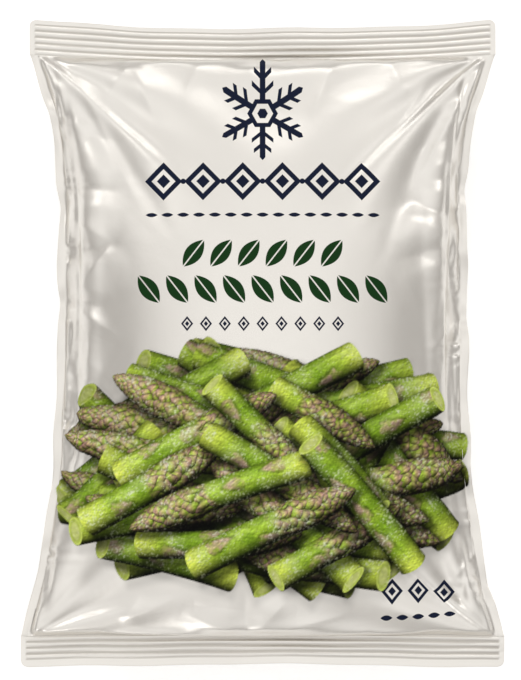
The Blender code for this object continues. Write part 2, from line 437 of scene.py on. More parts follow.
# How much is kept of the sideways bulge over a side seam, and on the back of the pleats' height
OVERHANG, BACK_PLEATS = 0.4, 0.7


def limited(value, room):
    """A value eased off so that it stays within room, which is (how far below zero, how far above)."""
    below, above = room
    return np.where(value < 0, below * np.tanh(value / below), above * np.tanh(value / above))


def held_level(x, y, face):
    """Where the contents hold the film."""
    if face > 0:
        return SEAM_LEVEL + (CROWN_LEVEL - SEAM_LEVEL) * puff(x, y)
    return SEAM_LEVEL - SEAM_LEVEL * np.minimum(1.0, BACK_FLATTENING * puff(x, y))


def filled_level(x, y, risen, broad, swell, shares, face):
    """The height of the filled chamber's film: where it is held, and its broad form and creases on that."""
    foot_weld, head_weld = CHAMBER_FOOT + end_bow(x, -HEIGHT), CHAMBER_HEAD + end_bow(x, HEIGHT)
    from_ends = np.minimum(y - foot_weld, head_weld - y)
    from_sides = (1.0 - np.abs(shares))[None, :]
    calm = unit(from_ends / CREASE_START[0]) * unit(from_sides / CREASE_START[1])
    creases = face * (risen - broad)
    if face > 0:
        creases -= swell * smooth_step(*SWELL_EVENED, from_ends)
        taut = np.exp(-((x / TAUT_HALF[0]) ** 2) - ((y - TAUT_MIDDLE) / TAUT_HALF[1]) ** 2)
        creases *= 1.0 - TAUT_SHARE * taut
        creases += (pleats(x, y) + folds(x, y) + puckers(x, y)) * calm
    else:
        creases += BACK_PLEATS * pleats(-x, y) * calm * unit(broad / 0.01 - 0.3)
    held = held_level(x, y, face)
    return held + face * (limited(face * (broad - held), BROAD_ROOM) + limited(creases, CREASE_ROOM))


def shape_seals(place, pasts, rims, face):
    """Gives the seals their waves and ribs, and lays the two skins of each weld one over the other."""
    x, y = place[..., 0], place[..., 1]
    in_rim, in_end = np.abs(rims), np.abs(pasts)
    beside = in_end == 0
    fluting = 0.0006 * np.sin(120 * y + 5 * x) + 0.0002 * np.sin(310 * y + 1.0 + 9 * x)
    place[..., 2] += np.where(beside, fluting * in_rim, 0.0)
    place[..., 0] += np.sign(x) * np.where(beside, 0.0004 * np.sin(150 * y + 2.0), 0.0) * in_rim
    crimp = np.where(pasts > 0, rib_lift(pasts, HEAD_RIBS, in_rim), rib_lift(-pasts, FOOT_RIBS, in_rim))
    sway = 0.0008 * np.sin(34 * x + 0.6) + 0.0005 * np.sin(81 * x)
    place[..., 2] += crimp + sway * unit(in_end / 0.008) ** 2
    place[..., 1] += (0.0004 * np.sin(52 * x + 0.8) + 0.0002 * np.sin(131 * x)) * in_end / HEAD_SEAL
    sealed = (in_rim > 0) | ~beside
    trimmed = (in_rim < 1) & (pasts < HEAD_SEAL - 1e-6) & (pasts > 1e-6 - FOOT_SEAL)
    place[..., 2] += face * np.where(sealed & trimmed, WELD_THICKNESS / 2, 0.0)


def round_corners(place):
    """Rounds the pouch's four corners, where the film is trimmed."""
    for along, radius, half in ((1, HEAD_CORNER, HEAD_WIDTH / 2), (-1, FOOT_CORNER, FOOT_WIDTH / 2)):
        for across in (-1, 1):
            x = (across * place[..., 0] - (half - radius)) / radius
            y = (along * place[..., 1] - (HEIGHT / 2 - radius)) / radius
            near = (x > 0) & (y > 0)
            x, y = unit(x), unit(y)
            out = across * (half - radius + radius * x * np.sqrt(1 - y**2 / 2))
            up = along * (HEIGHT / 2 - radius + radius * y * np.sqrt(1 - x**2 / 2))
            place[..., 0] = np.where(near, out, place[..., 0])
            place[..., 1] = np.where(near, up, place[..., 1])


def sheet_places(points, face, steps, pasts, shares, rims):
    """Points of one sheet, and the same before creasing.

    A row is at a step from 0 to 1 along the chamber, or past it into an end seal. A column is at a share from
    -1 to 1 across the chamber, or part way, up to 1, into the side seal. face is 1 in front and -1 behind.
    """
    rows, columns = points.shape[:2]
    down = curve_weights(rows, steps * (rows - 1))
    over = curve_weights(columns, (shares + 1) / 2 * (columns - 1))
    passes = FULL_IRONING
    level = smoothed(points, passes[0])
    swell = smoothed(points - level, passes[1], across=False)
    place, ironed, swell = (np.einsum("ra,abk,cb->rck", down, grid, over) for grid in (points, level, swell))
    rims, pasts = rims[None, :], pasts[:, None]
    for grid in (place, ironed):
        grid[..., 0] += rims * SIDE_SEAL
        grid[..., 1] += pasts
    place[..., 0] = ironed[..., 0] + OVERHANG * (place[..., 0] - ironed[..., 0])
    x, y, risen = (place[..., k] for k in range(3))
    formed = filled_level(x, y, risen, ironed[..., 2], swell[..., 2], shares, face)
    place[..., 2] = np.where((rims == 0) & (pasts == 0), formed, risen)
    if face < 0:
        place[..., 2] = np.maximum(place[..., 2], 0.0)
    shape_seals(place, pasts, rims, face)
    round_corners(place)
    return place, ironed


def chamber_rows(start, end, pitch):
    """Rows between two steps of the chamber, as (step, distance past it)."""
    count = max(2, round((end - start) * (CHAMBER_HEAD - CHAMBER_FOOT) / pitch))
    return [(start + (end - start) * k / count, 0.0) for k in range(count + 1)]


def seal_rows(way, width, pitch):
    """Rows of an end seal, from its inner edge outwards."""
    count = round(width / pitch)
    return [(0.5 + 0.5 * way, way * width * k / count) for k in range(1, count + 1)]


def film_columns(pitch):
    """Columns from one side's outer edge to the other's, as (share of the chamber, share of the rim)."""
    inner = round((WAIST_WIDTH + 0.02) / pitch)
    rim = max(3, round(SIDE_SEAL / pitch))
    left = [(-1.0, -k / rim) for k in range(rim, 0, -1)]
    right = [(1.0, k / rim) for k in range(1, rim + 1)]
    return left + [(-1.0 + 2.0 * k / inner, 0.0) for k in range(inner + 1)] + right


def film_piece(name, points, face, rows, columns, before=(), after=()):
    """One piece of a sheet. before and after are its neighbours' nearest rows, so that the light runs on."""
    steps, pasts = np.array([*before, *rows, *after]).T
    shares, rims = np.array(columns).T
    place, ironed = sheet_places(points, face, steps, pasts, shares, rims)
    down, over = np.gradient(place, axis=0), np.gradient(place, axis=1)
    normals = np.cross(over, down) * face
    normals /= np.linalg.norm(normals, axis=-1, keepdims=True) + 1e-12
    kept = slice(len(before), len(before) + len(rows))
    place, ironed, normals = place[kept], ironed[kept], normals[kept]

    shape = bmesh.new()
    bmesh.ops.create_grid(shape, x_segments=len(columns) - 1, y_segments=len(rows) - 1, size=1.0)
    if face < 0:
        bmesh.ops.reverse_faces(shape, faces=shape.faces)
    made = object_from(shape, name)
    mesh = made.data
    spots = np.empty(len(mesh.vertices) * 3)
    mesh.vertices.foreach_get("co", spots)
    spots = spots.reshape(-1, 3)
    row = np.rint((spots[:, 1] + 1) / 2 * (len(rows) - 1)).astype(int)
    column = np.rint((spots[:, 0] + 1) / 2 * (len(columns) - 1)).astype(int)
    mesh.vertices.foreach_set("co", place[row, column].ravel())
    corners = np.empty(len(mesh.loops), int)
    mesh.loops.foreach_get("vertex_index", corners)
    mesh.uv_layers.new(name="print").data.foreach_set("uv", ironed[row, column, :2][corners].ravel())
    out, rim = pasts[kept][row], np.abs(rims)[column]
    # How deep each point lies in a seal's groove, which the finish darkens as painted shade
    grooves = np.where(out > 0, pressed(out, HEAD_RIBS, rim), pressed(-out, FOOT_RIBS, rim))
    mesh.attributes.new("pressed", "FLOAT", "POINT").data.foreach_set("value", grooves)
    mesh.shade_smooth()
    mesh.normals_split_custom_set_from_vertices(normals[row, column])
    return made, ironed[row, column, :2] * 1000


# The front is made in four pieces, so that the picture's part can be fine enough for its print. Where they
# meet, and how far apart their points are
PICTURE_STEPS = (0.045, 0.295, 0.545)
FINE_PITCH, WIDE_PITCH, RIB_PITCH = 0.00047, 0.0011, 0.00038
BACK_PITCH, BACK_RIB_PITCH = 0.0014, 0.0005
fine, wide = film_columns(FINE_PITCH), film_columns(WIDE_PITCH)
low, middle, high = PICTURE_STEPS
foot_rows = seal_rows(-1, FOOT_SEAL, RIB_PITCH)[::-1] + chamber_rows(0.0, low, WIDE_PITCH)
lower_rows, upper_rows = chamber_rows(low, middle, FINE_PITCH), chamber_rows(middle, high, FINE_PITCH)
head_rows = chamber_rows(high, 1.0, WIDE_PITCH) + seal_rows(1, HEAD_SEAL, RIB_PITCH)
back_rows = seal_rows(-1, FOOT_SEAL, BACK_RIB_PITCH)[::-1] + chamber_rows(0.0, 1.0, BACK_PITCH)
back_rows += seal_rows(1, HEAD_SEAL, BACK_RIB_PITCH)

film_foot, _ = film_piece("film_front_foot", front_points, 1, foot_rows, wide, after=lower_rows[1:2])
film_lower, lower_print = film_piece(
    "film_front_lower", front_points, 1, lower_rows, fine, before=foot_rows[-2:-1], after=upper_rows[1:2])
film_upper, upper_print = film_piece(
    "film_front_upper", front_points, 1, upper_rows, fine, before=lower_rows[-2:-1], after=head_rows[1:2])
film_head, _ = film_piece("film_front_head", front_points, 1, head_rows, wide, before=upper_rows[-2:-1])
film_back, _ = film_piece("film_back_sheet", back_points, -1, back_rows, film_columns(BACK_PITCH))
for piece in (film_foot, film_lower, film_upper, film_head):
    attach(piece, "root")
    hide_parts("film_front")
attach(film_back, "root")
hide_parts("film_back")


# The print, on the film's front: a heap of cut, frosted asparagus spears laid anyhow, and plain ornaments in
# dark blue and dark green. It is laid out in millimetres on the film with its creases ironed out, so that it
# bends and folds with it, and the picture is kept as the colour of the film's points.
HEAP_MIDDLE = np.array((0.5, -60.0))
HEAP_HALF = np.array((103.0, 63.0))
HEAP_SQUARENESS = 2.6
LIGHT_FROM = np.array((-0.26, 0.42, 0.87))
SHADOW_SHIFT = np.array((1.5, -2.3))

# The heap's layers, the lowest first: how many spears, how far out, how bright, what share has its tip
LAYERS = ((34, 1.00, 0.85, 0.5), (24, 0.92, 0.92, 0.55), (17, 0.76, 0.99, 0.6), (9, 0.56, 1.04, 0.7))
GOLDEN_TURN = 2.39996

HEAP_SEED = 8
TIP_LENGTH = 39.0
SCALE_PITCH, SCALE_LENGTH, SCALE_TURN = 2.9, 7.0, math.radians(42)

# The colours on a spear, as a screen shows them
STEM_GREEN, STEM_DEEP, BUTT_YELLOW, CUT_YELLOW = (124, 150, 46), (98, 128, 32), (182, 192, 76), (162, 178, 66)
BRACT_BROWN = (152, 126, 112)
SCALE_OLIVE, SCALE_BROWN, SCALE_PURPLE = (122, 142, 50), (150, 124, 96), (128, 98, 92)
SCALE_EDGE, UNDER_SCALES = (58, 66, 28), (46, 56, 20)
CUT_PALE, CUT_RING, CUT_RIM, CUT_FROST = (198, 206, 122), (180, 196, 88), (206, 222, 104), (238, 240, 214)
SPARKLE, HAZE, GLOSS = (244, 248, 230), (206, 218, 186), (236, 242, 200)
HEAP_DARK = (30, 36, 12)


def mottle(across, along, pitch, seed):
    """Smooth random values from 0 to 1, with a knot every pitch."""
    knots = np.random.default_rng(seed).random((64, 64))
    u, v = across / pitch, along / pitch
    column, row = np.floor(u).astype(int), np.floor(v).astype(int)
    u, v = smooth_step(0.0, 1.0, u - column), smooth_step(0.0, 1.0, v - row)
    low = knots[column % 64, row % 64] * (1 - u) + knots[(column + 1) % 64, row % 64] * u
    high = knots[column % 64, (row + 1) % 64] * (1 - u) + knots[(column + 1) % 64, (row + 1) % 64] * u
    return low * (1 - v) + high * v


def turned_mottle(places, pitch, seed):
    """The same for places of the picture, turned so that its knots never line up with its sides."""
    x, y = places[:, 0], places[:, 1]
    return mottle(0.80 * x + 0.60 * y, 0.80 * y - 0.60 * x, pitch, seed)


def lay_heap():
    """The picture's spears, the lowest first."""
    dice = np.random.default_rng(HEAP_SEED)
    heap = []
    for count, spread, bright, tipped in LAYERS:
        layer = []
        start = dice.uniform(0, math.tau)
        for k in range(count):
            reach = spread * math.sqrt((k + 0.6) / count)
            turn = start + GOLDEN_TURN * k
            middle = HEAP_MIDDLE + HEAP_HALF * reach * np.array((math.cos(turn), math.sin(turn)))
            steep = dice.random() < 0.16
            heading = dice.uniform(44, 64) if steep else dice.uniform(4, 40)
            heading = math.radians(heading * dice.choice((-1, 1)))
            length = dice.uniform(56, 94) * (0.86 if steep else 1.0)
            way = np.array((math.cos(heading), math.sin(heading)))
            for _ in range(60):
                ends = np.array([middle + way * length * side / 2 - HEAP_MIDDLE for side in (-1, 1)])
                out = (np.abs(ends / (HEAP_HALF - 5.0)) ** HEAP_SQUARENESS).sum(-1)
                if out.max() <= 1.0:
                    break
                middle = middle - 1.5 * ends[out.argmax()] / np.hypot(*ends[out.argmax()])
            if dice.random() < 0.5:
                heading += math.pi
            layer.append({
                "middle": middle, "heading": heading, "length": length, "bright": bright,
                "radius": dice.uniform(6.7, 7.8), "bend": dice.uniform(-1.8, 1.8),
                "tipped": dice.random() < tipped, "near": dice.choice((-1, 1)),
                "slant": dice.uniform(0.24, 0.46), "seed": int(dice.integers(1000)),
                "tone": dice.uniform(-1.0, 1.0),
            })
        heap += sorted(layer, key=lambda spear: -spear["middle"][1])
    return heap


def along_spear(places, spear):
    """Distance from the spear's butt, and distance aside from its middle line."""
    way = np.array((math.cos(spear["heading"]), math.sin(spear["heading"])))
    offset = places - spear["middle"]
    along = offset @ way
    aside = offset @ np.array((-way[1], way[0]))
    aside = aside - spear["bend"] * (1.0 - (2.0 * along / spear["length"]) ** 2)
    return along + spear["length"] / 2, aside


def spear_radius(along, spear):
    """Half the spear's width at distances from its butt."""
    wide = spear["radius"] * (1.0 - 0.06 * along / spear["length"])
    if not spear["tipped"]:
        return wide
    step = unit((along - (spear["length"] - TIP_LENGTH)) / TIP_LENGTH)
    head = (1.0 + 0.17 * np.sin(math.pi * step**0.9)) * (1.0 - step**2.9) ** 0.66
    ragged = 0.25 * np.abs(np.sin(math.pi * along / SCALE_PITCH)) * (step > 0) * (step < 0.97)
    return np.maximum(wide * head + ragged, 1e-3)


def flat_colour(tone, count):
    """One colour for a number of places."""
    return np.tile(np.asarray(tone) / 255.0, (count, 1))


def blend(colours, tone, share):
    """Colours with a share of one more laid over them."""
    return colours + (np.asarray(tone) / 255.0 - colours) * share[:, None]


def tip_scales(along, turn, seed):
    """The scale at each place of a tip: is there one, how far up, inwards and aside on it, and its tone."""
    found = np.zeros(along.shape, bool)
    up_scale, inward, aside_scale = np.zeros_like(along), np.zeros_like(along), np.zeros_like(along)
    first = np.floor(along / SCALE_PITCH)
    knots = np.random.default_rng(seed).random(64)
    tone = np.zeros_like(along)
    for back in (2, 1, 0):
        row = first - back
        shift = knots[row.astype(int) % 64]
        centre = ((row % 2) * 0.5 + 0.5 * (shift - 0.5)) * SCALE_TURN
        column = np.floor((turn - centre) / SCALE_TURN + 0.5)
        luck = knots[(row * 17 + column * 29).astype(int) % 64]
        up = (along - (row + 0.5 * (luck - 0.5)) * SCALE_PITCH) / (SCALE_LENGTH * (0.8 + 0.35 * luck))
        aside = (turn - centre) / SCALE_TURN - column
        half = 0.60 * unit(1.0 - unit(up) ** 2.1) ** 0.75
        here = (np.abs(aside) < half) & (up > 0.0) & (up < 1.0) & ~found
        up_scale = np.where(here, up, up_scale)
        inward = np.where(here, 1.0 - np.abs(aside) / np.maximum(half, 1e-6), inward)
        aside_scale = np.where(here, aside, aside_scale)
        tone = np.where(here, knots[(row * 31 + column * 11).astype(int) % 64], tone)
        found |= here
    return found, up_scale, inward, aside_scale, tone


def cast_shadow(places, ink, cover, spear):
    """Darkens what lies under a spear and beside it, and the bare film less than the heap."""
    along, aside = along_spear(places - SHADOW_SHIFT, spear)
    beyond = np.maximum(np.maximum(-along, along - spear["length"]), 0.0)
    beside = np.maximum(np.abs(aside) - spear_radius(along, spear), 0.0)
    shade = 0.52 * (1.0 - smooth_step(-0.8, 4.0, np.hypot(beyond, beside)))
    shade *= 0.34 + 0.66 * cover
    ink *= (1.0 - shade)[:, None]
    cover[:] = 1.0 - (1.0 - cover) * (1.0 - shade)


def stem_skin(along, side, turn, spear):
    """The stem's skin: green, paler and yellower towards the butt, with fine lengthwise fibres."""
    seed, tone = spear["seed"], spear["tone"]
    skin = flat_colour(STEM_GREEN, len(side)) * (1.0 + 0.05 * tone)
    skin = blend(skin, STEM_DEEP, 0.8 * smooth_step(0.25, 0.85, mottle(side * 7, along, 5.0, seed)))
    skin = blend(skin, BUTT_YELLOW, 0.80 * (1.0 - smooth_step(-2.0, 19.0 + 5 * tone, along)))
    if not spear["tipped"]:
        skin = blend(skin, CUT_YELLOW, 0.6 * (1.0 - smooth_step(-2.0, 10.0, spear["length"] - along)))
    fibres = mottle(turn * 7.0, along * 0.16, 0.9, seed + 1) - 0.5
    return skin * (1.0 + 0.16 * fibres)[:, None]


def add_bracts(skin, along, turn, spear):
    """Single bracts on the stem's skin, and how far each tilts it."""
    tilt = np.zeros_like(turn)
    dice = np.random.default_rng(spear["seed"])
    start = dice.uniform(8, 18)
    stem_end = spear["length"] - (TIP_LENGTH if spear["tipped"] else 4.0)
    while start < stem_end:
        centre, size = dice.uniform(-0.8, 0.8), dice.uniform(10.0, 15.0)
        fray = mottle(turn * 8, along, 1.7, spear["seed"] + 9) - 0.5
        up = (along - start) / size + 0.12 * fray
        half = 4.5 * unit(1.0 - unit(up) ** 1.7) ** 0.8 * unit(up / 0.2) ** 0.7
        inward = half - np.abs(turn - centre) * spear["radius"] + 1.3 * fray
        bract = smooth_step(-0.5, 1.6, inward) * (up > 0) * (up < 1)
        shadow = smooth_step(-1.5, 0.2, inward) * (up > 0.1) * (up < 1.1) * (1 - bract)
        skin = skin * (1.0 - 0.30 * shadow)[:, None]
        skin = blend(skin, BRACT_BROWN, bract * np.clip(0.25 + 0.9 * up + 0.8 * fray, 0.0, 0.95))
        tilt += bract * 0.35 * np.clip((turn - centre) * 2, -1, 1)
        start += dice.uniform(15, 25)
    return skin, tilt


def add_scales(skin, along, side, turn, spear):
    """The tip's scales, olive with purple-brown points, and how far they tilt its skin sideways and along."""
    seed = spear["seed"]
    from_head = along - (spear["length"] - TIP_LENGTH)
    stray = mottle(side * 5, along, 3.4, seed + 2) - 0.5
    scaled = smooth_step(-6.0, 0.0, from_head + 6.0 * stray)
    crowded = from_head * (1.0 + 0.45 * np.clip(from_head, 0.0, None) / TIP_LENGTH)
    found, up, inward, off, luck = tip_scales(crowded + 1.9 * stray, turn + 0.30 * stray, seed)
    horn = flat_colour(SCALE_OLIVE, len(side))
    ripe = unit(0.22 + 0.60 * luck + 0.45 * unit(from_head / TIP_LENGTH))
    horn = blend(horn, SCALE_BROWN, smooth_step(0.22, 0.60, up) * ripe)
    horn = blend(horn, SCALE_PURPLE, smooth_step(0.55, 0.90, up) * (0.45 + 0.55 * ripe))
    horn = horn * (0.74 + 0.40 * smooth_step(0.0, 0.7, inward) * smooth_step(-0.2, 0.35, up))[:, None]
    horn = blend(horn, SCALE_EDGE, 0.55 * (1 - smooth_step(0.0, 0.22, inward)))
    horn = blend(horn, UNDER_SCALES, 1.0 * ~found)
    skin = skin + (horn - skin) * scaled[:, None]
    return skin, scaled * 1.5 * off, scaled * 0.55 * (up - 0.30) * found


def lit_from_above(spot, side, turn, tilt, slope, spear):
    """How far each place of a spear faces the light, and how bright that and its skin's grain make it."""
    way = np.array((math.cos(spear["heading"]), math.sin(spear["heading"])))
    across = np.array((-way[1], way[0]))
    leaning = np.sin(np.clip(turn + tilt, -1.5, 1.5))
    normal = np.stack([
        -slope * way[0] + leaning * across[0],
        -slope * way[1] + leaning * across[1],
        np.maximum(np.cos(turn), 0.02),
    ], -1)
    normal /= np.linalg.norm(normal, axis=-1, keepdims=True)
    lit = unit(normal @ (LIGHT_FROM / np.linalg.norm(LIGHT_FROM)))
    light = (0.17 + 1.17 * lit) * (0.70 + 0.30 * np.sqrt(unit(1 - side**2)))
    step = 0.30 * LIGHT_FROM[:2]
    grain = np.zeros_like(side)
    for pitch, height in ((0.75, 1.1), (1.8, 0.5)):
        above, below = spot + step * pitch, spot - step * pitch
        towards, behind = (turned_mottle(places, pitch, spear["seed"] + 7) for places in (above, below))
        grain += height * (towards - behind)
    return lit, light * (1.0 - 0.62 * grain)


def add_frost(skin, spot, side, lit, grit, seed):
    """Fine sparkles in patches, most of them on the upper side, and a faint gloss."""
    patch = turned_mottle(spot, 6.5, seed + 4)
    rim = smooth_step(0.80, 0.97, np.abs(side))
    frost = smooth_step(0.60, 0.90, grit * (0.70 + 0.40 * patch + 0.14 * rim)) * (0.40 + 0.60 * lit)
    skin = blend(skin, SPARKLE, 0.70 * frost)
    skin = blend(skin, HAZE, 0.20 * smooth_step(0.40, 0.9, patch) * lit)
    gloss = smooth_step(0.90, 1.0, lit) * turned_mottle(spot, 1.6, seed + 5)
    return blend(skin, GLOSS, 0.26 * gloss)


def add_cut_end(skin, spot, along, side, grit, spear):
    """The cut end that faces the viewer: pale, with a darker ring and a yellow-green rim."""
    if spear["tipped"] and spear["near"] > 0:
        return skin
    depth = spear["slant"] * spear["radius"]
    from_cut = (along if spear["near"] < 0 else along - spear["length"]) / depth
    out = np.hypot(from_cut, side)
    pale = flat_colour(CUT_PALE, len(side))
    pale = blend(pale, CUT_RING, smooth_step(0.50, 0.72, out))
    pale = blend(pale, CUT_RIM, smooth_step(0.76, 0.90, out))
    pale = pale * (0.90 + 0.16 * turned_mottle(spot, 1.1, spear["seed"] + 6))[:, None]
    pale = blend(pale, CUT_FROST, 0.5 * smooth_step(0.70, 0.95, grit))
    return skin + (pale - skin) * (1 - smooth_step(0.97, 1.0, out))[:, None]


def paint_spear(places, ink, cover, spear):
    """Prints one spear, with its shadow, over what is there already."""
    cast_shadow(places, ink, cover, spear)
    length = spear["length"]
    along, aside = along_spear(places, spear)
    side = aside / spear_radius(along, spear)
    bulge = spear["slant"] * spear["radius"] * np.sqrt(unit(1.0 - side**2))
    head_end = length if spear["tipped"] else length + bulge
    here = (np.abs(side) < 1.0) & (along > -bulge) & (along < head_end)
    if not here.any():
        return
    along, side, spot = along[here], side[here], places[here]
    turn = np.arcsin(np.clip(side, -1.0, 1.0))
    slope = spear_radius(along + 0.5, spear) - spear_radius(along - 0.5, spear)
    skin, tilt = add_bracts(stem_skin(along, side, turn, spear), along, turn, spear)
    if spear["tipped"]:
        skin, scale_tilt, scale_slope = add_scales(skin, along, side, turn, spear)
        tilt += scale_tilt
        slope -= scale_slope
    lit, light = lit_from_above(spot, side, turn, tilt, slope, spear)
    grit = turned_mottle(spot, 0.62, spear["seed"] + 3)
    skin = add_frost(skin * light[:, None], spot, side, lit, grit, spear["seed"])
    skin = add_cut_end(skin, spot, along, side, grit, spear)
    ink[here] = unit(skin * spear["bright"])
    cover[here] = 1.0


def paint(places):
    """The picture's colour, as a screen shows it, and how much of the film it covers, at each place."""
    ink, cover = np.zeros((len(places), 3)), np.zeros(len(places))
    from_middle = (np.abs((places - HEAP_MIDDLE) / HEAP_HALF) ** HEAP_SQUARENESS).sum(-1)
    deep = 1.0 - smooth_step(0.42, 0.60, from_middle)
    ink += flat_colour(HEAP_DARK, len(places)) * deep[:, None]
    cover += deep
    for spear in lay_heap():
        reach = spear["length"] / 2 + spear["radius"] + 8.0
        near = (np.abs(places - spear["middle"]) < reach).all(-1)
        sub_ink, sub_cover = ink[near], cover[near]
        paint_spear(places[near], sub_ink, sub_cover, spear)
        ink[near], cover[near] = sub_ink, sub_cover
    return ink, cover


QUARTER_IN_MM = 1000 / 4


def print_picture(piece, places, pitch):
    """Keeps the picture on a piece of film as its points' colours, each weighted by how much film it covers.
    """
    shifts = [np.array((a, b)) for a in (-1, 1) for b in (-1, 1)][:: 1]
    ink, cover = np.zeros((len(places), 3)), np.zeros(len(places))
    for shift in shifts:
        more_ink, more_cover = paint(places + shift * pitch * QUARTER_IN_MM)
        ink += more_ink / len(shifts)
        cover += more_cover / len(shifts)
    share = np.maximum(cover, 1e-6)[:, None]
    colours = np.concatenate([(ink / share) ** 2.2 * share, cover[:, None]], 1)
    layer = piece.data.color_attributes.new("picture", "FLOAT_COLOR", "POINT")
    layer.data.foreach_set("color", colours.ravel())


print_picture(film_lower, lower_print, FINE_PITCH)
print_picture(film_upper, upper_print, FINE_PITCH)


def feed(tree, entry, value):
    """Sets a shader input to a value, or links another node's output to it."""
    if isinstance(value, bpy.types.NodeSocket):
        tree.links.new(value, entry)
    else:
        entry.default_value = value


def node(tree, kind, **values):
    """A shader node. Each value is for the input of that name, or for input 0, 1 and so on, named i0, i1."""
    made = tree.nodes.new("ShaderNode" + kind)
    for name, value in values.items():
        numbered = name[0] == "i" and name[1:].isdigit()
        feed(tree, made.inputs[int(name[1:]) if numbered else name], value)
    return made


def maths(tree, operation, *values, clamp=False):
    """What a shader works out from one to three values."""
    made = node(tree, "Math", **{f"i{k}": value for k, value in enumerate(values)})
    made.operation = operation
    made.use_clamp = clamp
    return made.outputs[0]


def mixed(tree, share, first, second):
    """Two colours mixed, the second by share."""
    made = tree.nodes.new("ShaderNodeMix")
    made.data_type = "RGBA"
    for name, value in (("Factor_Float", share), ("A_Color", first), ("B_Color", second)):
        feed(tree, next(entry for entry in made.inputs if entry.identifier == name), value)
    return next(result for result in made.outputs if result.identifier == "Result_Color")


def distance(tree, x, y):
    """How far a place is from the middle that x and y are counted from."""
    squares = [maths(tree, "MULTIPLY", value, value) for value in (x, y)]
    return maths(tree, "SQRT", maths(tree, "ADD", *squares))


def highest(tree, values):
    """The highest of some values."""
    most = values[0]
    for value in values[1:]:
        most = maths(tree, "MAXIMUM", most, value)
    return most


# Rows of ornaments: ink, motif, middle (x, y), how many, pitch, half its length and width, slant in degrees
ORNAMENTS = (
    ("blue", "lozenge", (0.0, 77.8), 6, 19.0, 9.0, 9.2, 0),
    ("blue", "dot", (0.0, 77.8), 5, 19.0, 1.3, 1.3, 0),
    ("blue", "seed", (0.0, 61.7), 15, 7.6, 2.9, 1.0, 0),
    ("green", "leaf", (0.0, 43.3), 6, 13.2, 8.2, 4.0, 52),
    ("green", "leaf", (0.0, 26.2), 9, 13.6, 8.4, 4.2, -52),
    ("blue", "lozenge", (0.0, 9.7), 9, 9.0, 2.9, 3.6, 0),
    ("blue", "lozenge", (75.0, -119.0), 3, 12.6, 5.2, 5.8, 0),
    ("blue", "seed", (75.0, -130.2), 5, 7.6, 2.9, 1.1, 0),
)
CRYSTAL_MIDDLE = (0.0, 110.4)
CRYSTAL_REACH = 22.5
INKS = {"blue": (0.0085, 0.0130, 0.0340, 1), "green": (0.0080, 0.0420, 0.0090, 1)}
INK_EDGE = 0.14
LEAF_RIB = 0.32
LOZENGE_BAND, LOZENGE_CORE = 0.64, 0.36


def motif(tree, kind, u, v, long, wide):
    """How far inside one ornament a place is, in millimetres from its middle; negative outside."""
    if kind == "dot":
        return maths(tree, "SUBTRACT", long, distance(tree, u, v))
    if kind in ("leaf", "seed"):
        share = maths(tree, "DIVIDE", u, long)
        narrowing = maths(tree, "SUBTRACT", 1.0, maths(tree, "MULTIPLY", share, share))
        aside = maths(tree, "ABSOLUTE", v)
        blade = maths(tree, "SUBTRACT", maths(tree, "MULTIPLY", narrowing, wide), aside)
        if kind == "seed":
            return blade
        return maths(tree, "MINIMUM", blade, maths(tree, "SUBTRACT", aside, LEAF_RIB))
    out_long = maths(tree, "DIVIDE", maths(tree, "ABSOLUTE", u), long)
    out_wide = maths(tree, "DIVIDE", maths(tree, "ABSOLUTE", v), wide)
    out = maths(tree, "ADD", out_long, out_wide)
    from_band = maths(tree, "SUBTRACT", out, LOZENGE_BAND)
    band = maths(tree, "MINIMUM", maths(tree, "SUBTRACT", 1.0, out), from_band)
    core = maths(tree, "SUBTRACT", LOZENGE_CORE, out)
    return maths(tree, "MULTIPLY", maths(tree, "MAXIMUM", band, core), 0.7 * long)


def ornament_row(tree, x, y, kind, middle, count, pitch, long, wide, slant):
    """How far inside one of a row's ornaments a place is."""
    x, y = maths(tree, "SUBTRACT", x, middle[0]), maths(tree, "SUBTRACT", y, middle[1])
    within = maths(tree, "SUBTRACT", count * pitch / 2, maths(tree, "ABSOLUTE", x))
    offset = 0.0 if count % 2 else pitch / 2
    u = maths(tree, "WRAP", maths(tree, "ADD", x, offset), pitch / 2, -pitch / 2)
    if slant:
        cos, sin = math.cos(math.radians(slant)), math.sin(math.radians(slant))
        turned = maths(tree, "ADD", maths(tree, "MULTIPLY", u, cos), maths(tree, "MULTIPLY", y, sin))
        y = maths(tree, "SUBTRACT", maths(tree, "MULTIPLY", y, cos), maths(tree, "MULTIPLY", u, sin))
        u = turned
    return maths(tree, "MINIMUM", motif(tree, kind, u, y, long, wide), within)


